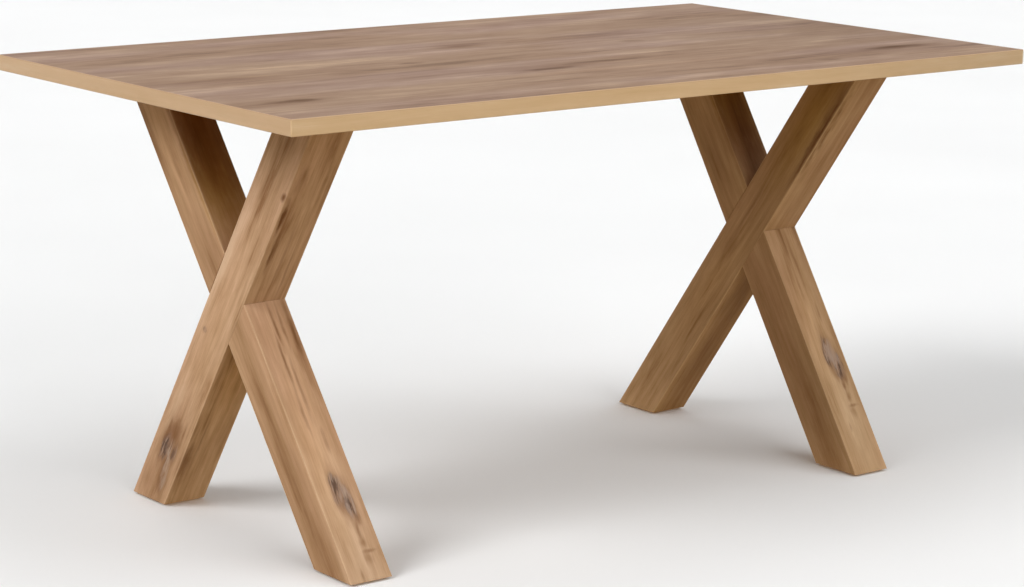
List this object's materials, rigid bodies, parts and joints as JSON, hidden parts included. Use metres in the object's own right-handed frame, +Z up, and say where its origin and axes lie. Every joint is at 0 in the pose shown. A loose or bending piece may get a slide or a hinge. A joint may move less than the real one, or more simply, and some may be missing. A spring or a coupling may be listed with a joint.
{
  "type": "sawbuck table",
  "caption": "Rectangular dining table: oak-decor laminated board top on X-shaped trestles of half-lapped square beams.",
  "frame": {"origin": "on the floor, under the middle of the top", "axes": "+X along the length of the top, +Y from the front long side to the back one, +Z up"},
  "size_m": [1.5, 0.85, 0.74],
  "materials": {
    "top_decor": "satin printed oak laminate, grain along the length",
    "underside_decor": "satin printed oak backing laminate",
    "edge_band": "satin wood-print edge strip",
    "particle_board": "raw pressed chips",
    "leg_decor": "satin printed knotty oak decor",
    "inner_block": "raw planed softwood",
    "rail_decor": "satin printed oak decor",
    "dowel_wood": "raw beech",
    "glide_plastic": "matte brown plastic",
    "zinc_steel": "zinc plated"
  },
  "bodies": {
    "root": {"edge_band_back": "edge_band", "edge_band_front": "edge_band", "edge_band_left": "edge_band", "edge_band_right": "edge_band", "left_foot_glides": "glide_plastic", "left_front_leg_foot_block": "inner_block", "left_front_leg_head_block": "inner_block", "left_front_leg_inner_wall": "leg_decor", "left_front_leg_lap_block": "inner_block", "left_front_leg_lower_wall": "leg_decor", "left_front_leg_outer_wall_foot": "leg_decor", "left_front_leg_outer_wall_head": "leg_decor", "left_front_leg_upper_wall": "leg_decor", "left_glide_screws": "zinc_steel", "left_head_bolts": "zinc_steel", "left_lap_dowels": "dowel_wood", "left_leg_inserts": "zinc_steel", "left_rail": "rail_decor", "left_rear_leg_foot_block": "inner_block", "left_rear_leg_head_block": "inner_block", "left_rear_leg_inner_wall_foot": "leg_decor", "left_rear_leg_inner_wall_head": "leg_decor", "left_rear_leg_lap_block": "inner_block", "left_rear_leg_lower_wall": "leg_decor", "left_rear_leg_outer_wall": "leg_decor", "left_rear_leg_upper_wall": "leg_decor", "left_top_bolts": "zinc_steel", "left_top_inserts": "zinc_steel", "left_top_washers": "zinc_steel", "right_foot_glides": "glide_plastic", "right_front_leg_foot_block": "inner_block", "right_front_leg_head_block": "inner_block", "right_front_leg_inner_wall_foot": "leg_decor", "right_front_leg_inner_wall_head": "leg_decor", "right_front_leg_lap_block": "inner_block", "right_front_leg_lower_wall": "leg_decor", "right_front_leg_outer_wall": "leg_decor", "right_front_leg_upper_wall": "leg_decor", "right_glide_screws": "zinc_steel", "right_head_bolts": "zinc_steel", "right_lap_dowels": "dowel_wood", "right_leg_inserts": "zinc_steel", "right_rail": "rail_decor", "right_rear_leg_foot_block": "inner_block", "right_rear_leg_head_block": "inner_block", "right_rear_leg_inner_wall": "leg_decor", "right_rear_leg_lap_block": "inner_block", "right_rear_leg_lower_wall": "leg_decor", "right_rear_leg_outer_wall_foot": "leg_decor", "right_rear_leg_outer_wall_head": "leg_decor", "right_rear_leg_upper_wall": "leg_decor", "right_top_bolts": "zinc_steel", "right_top_inserts": "zinc_steel", "right_top_washers": "zinc_steel", "tabletop_core": "particle_board", "top_laminate": "top_decor", "underside_laminate": "underside_decor"}
  },
  "joints": []
}
